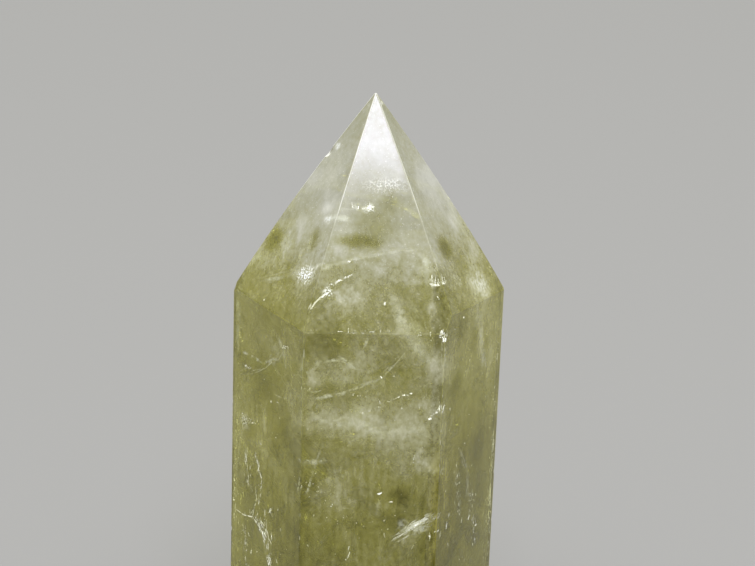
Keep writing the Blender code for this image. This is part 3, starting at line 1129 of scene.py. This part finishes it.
def bright_cracks():
    draw = random.Random(21)
    places = [crack_place(draw, *crack) for crack in CRACKS]
    for path, stray, count, largest in SPECK_TRAILS:
        places += strew(draw, count, path, stray, (0.4 * largest, largest), (0.3, 0.9), (0.4, 1.0), 1.5)
    for path, stray, count, longest, bright in BRUSHES:
        sizes, strengths = (0.3 * longest, longest), (0.4 * bright, bright)
        places += strew(draw, count, path, stray, sizes, (0.05, 0.16), strengths, 0.3)
    places += scatter(draw, 130, UPRIGHT_PART, (0.10, 0.40), (0.15, 0.8), (0.1, 0.6), deepest=SHALLOW)
    places += scatter(draw, 500, UPRIGHT_PART, (0.05, 0.13), (0.3, 1.0), (0.1, 0.5), deepest=SHALLOW)
    places += scatter(draw, 160, LOWER_HALF, (0.2, 0.8), (0.06, 0.2), (0.2, 0.7), UPWARDS, 0.4, SHALLOW)
    places = turned_round(places)
    patterns = [crack_pattern(seed) for seed in range(1, 5)]
    join_copies("bright_cracks", patterns, places, crack_look())
    discard(patterns)


# ---------------------------------------------------------------- healed lines

# Fine healed cracks: points in millimetres, radius in millimetres and strength.
LINES = [
    (((-17.2, -0.6, 79.0), (-13.5, -4.0, 81.0), (-10.6, -7.2, 83.2), (-3.8, -10.2, 87.0)), 0.16, 0.20),
    (((-3.8, -10.2, 87.0), (1.5, -10.0, 88.1), (6.2, -9.5, 88.2)), 0.10, 0.24),
    (((1.5, -16.4, 70.5), (3.0, -16.5, 72.2), (4.8, -16.4, 74.6)), 0.06, 0.45),
    (((1.2, -16.4, 70.8), (2.6, -16.5, 72.6), (3.6, -16.4, 73.8)), 0.05, 0.35),
    (((-9.3, -15.5, 68.4), (-9.7, -15.3, 67.6), (-8.8, -15.3, 67.3), (-7.7, -15.4, 67.9)), 0.13, 0.55),
    (((-13.5, -9.1, 64.2), (-12.5, -10.9, 64.2), (-11.6, -12.4, 65.0)), 0.12, 0.45),
    (((-7.3, -15.4, 66.8), (-4.8, -15.4, 67.3), (-2.1, -15.4, 68.6)), 0.12, 0.42),
    (
        ((-9.4, -13.4, 69.4), (-8.4, -13.4, 71.6), (-5.9, -13.4, 72.6))
        + ((-3.4, -13.4, 72.0), (-2.7, -13.5, 70.2)),
        0.10, 0.28,
    ),
    (
        ((-8.9, -14.4, 64.4), (-8.6, -14.4, 62.8), (-6.2, -14.4, 62.2))
        + ((-3.8, -14.4, 63.0), (-3.0, -14.5, 64.6)),
        0.12, 0.32,
    ),
    (((-19.2, 0.3, 63.4), (-17.2, -4.0, 64.6), (-15.0, -7.4, 67.4), (-13.2, -10.5, 71.0)), 0.08, 0.28),
    (((10.1, -17.0, 76.6), (10.2, -16.9, 74.8), (10.2, -16.9, 72.9)), 0.06, 0.60),
    (((10.4, -16.7, 66.4), (10.4, -16.7, 62.0), (10.4, -16.7, 56.0)), 0.05, 0.25),
    (((-4.0, -16.3, 48.4), (-2.8, -16.3, 48.4)), 0.06, 0.35),
    (((-9.2, -16.3, 45.7), (-7.0, -16.3, 45.7)), 0.06, 0.35),
]

# Fine open cracks that run in short straight lengths: points and radius in millimetres and strength.
JAGGED = [
    (((-9.6, -15.4, 80.3), (-8.9, -15.2, 81.5), (-8.0, -14.8, 82.3), (-6.9, -14.4, 82.9)), 0.12, 1.6),
    (((-15.3, -8.6, 41.8), (-15.1, -8.9, 40.4), (-15.0, -9.1, 39.7)), 0.08, 1.6),
    (((-17.3, -5.0, 40.7), (-16.4, -6.7, 40.3), (-15.4, -8.3, 39.4)), 0.08, 1.5),
    (((-19.8, -0.8, 39.9), (-18.6, -2.9, 40.0), (-17.2, -5.3, 40.9), (-16.4, -6.7, 40.5)), 0.10, 1.6),
    (((-16.4, -6.7, 40.5), (-15.6, -8.1, 41.3), (-14.8, -9.4, 40.3), (-14.6, -9.8, 39.0)), 0.08, 1.6),
    (((-16.4, -6.7, 40.5), (-15.7, -7.9, 39.6), (-15.3, -8.6, 39.9), (-14.7, -9.7, 38.4)), 0.08, 1.5),
    (((-17.2, -5.3, 40.9), (-17.0, -5.6, 42.4), (-16.6, -6.3, 44.4), (-16.8, -6.0, 46.6)), 0.06, 1.2),
    (((-17.0, -5.6, 42.4), (-17.6, -4.6, 41.0)), 0.06, 1.0),
    (((-16.0, -7.4, 41.9), (-15.4, -8.4, 40.7)), 0.07, 1.5),
    (((-14.5, -9.6, 44.7), (-14.3, -10.1, 43.9), (-14.0, -10.6, 43.7)), 0.07, 1.3),
    (((-14.7, -9.6, 36.6), (-14.4, -10.2, 34.4)), 0.08, 1.4),
    (((-18.1, -3.7, 52.4), (-18.3, -3.4, 50.0), (-18.0, -3.8, 48.9)), 0.06, 1.0),
    (((-16.9, -5.9, 51.8), (-16.3, -6.9, 50.4), (-16.6, -6.4, 49.4)), 0.06, 1.0),
    (((-15.2, -9.2, 42.4), (-15.0, -9.3, 41.0), (-15.3, -9.0, 39.8)), 0.07, 1.5),
    (((-15.1, -9.4, 43.6), (-14.6, -10.2, 44.3), (-14.3, -10.7, 45.3)), 0.06, 1.3),
    (((-14.4, -10.6, 41.0), (-14.4, -10.6, 39.5)), 0.09, 1.4),
    (((-19.4, -1.1, 64.2), (-18.2, -3.4, 65.9), (-17.4, -4.6, 65.9), (-15.5, -8.0, 67.8)), 0.06, 0.4),
    (((-15.5, -8.0, 67.8), (-14.3, -10.0, 70.1), (-13.6, -11.2, 70.6), (-12.8, -12.5, 72.8)), 0.07, 0.4),
    (((8.4, -11.8, 83.6), (8.5, -11.7, 84.9)), 0.06, 0.9),
    (((8.9, -11.1, 83.5), (8.8, -11.2, 84.6)), 0.05, 0.8),
    (((10.4, -16.2, 64.2), (10.1, -16.4, 65.4), (10.2, -16.3, 66.6)), 0.06, 0.8),
]


def line_look():
    look = Shader("healed_lines")
    broken = look.clouds(look.place(), 1500, detail=3)
    share = broken.ramp(0.36, 0.58) * look.attribute("strength")
    # The healed lines also shine with a painted glow by emission, though they are no lamp.
    return look.finish(look.milk(share.clamped(), (0.93, 0.94, 0.90, 1), 0.9))


def healed_line(side, points, radius, strength, jagged=False):
    """A tapered thread along its points, smooth unless it is jagged. Side -1 turns it round to the back."""
    curve = bpy.data.curves.new("line", "CURVE")
    curve.dimensions = "3D"
    curve.bevel_depth = radius * MM
    curve.bevel_resolution = 1
    curve.use_fill_caps = True
    curve.resolution_u = 8
    spline = curve.splines.new("NURBS")
    spline.points.add(len(points) - 1)
    for number, (place, point) in enumerate(zip(points, spline.points)):
        x, y, z = at(*place)
        point.co = (side * x, side * y, z, 1)
        point.radius = 0.35 if number in (0, len(points) - 1) else 1.0
    spline.order_u = 2 if jagged else min(4, len(points))
    spline.use_endpoint_u = True
    line = bpy.data.objects.new("line", curve)
    bpy.context.scene.collection.objects.link(line)
    deselect()
    line.select_set(True)
    bpy.context.view_layer.objects.active = line
    bpy.ops.object.convert(target="MESH")
    line = bpy.context.object
    stored = line.data.attributes.new("strength", "FLOAT", "POINT")
    stored.data.foreach_set("value", [strength] * len(line.data.vertices))
    return line


def healed_lines():
    lines = []
    for side in (1, -1):
        lines += [healed_line(side, *line) for line in LINES]
        lines += [healed_line(side, *line, jagged=True) for line in JAGGED]
    join(lines, "healed_lines", line_look())


add_camera()
add_floor()
add_world()
add_lamps()
set_view()
polished_stone()
mist()
wisps()
cloud_patches()
bright_cracks()
healed_lines()
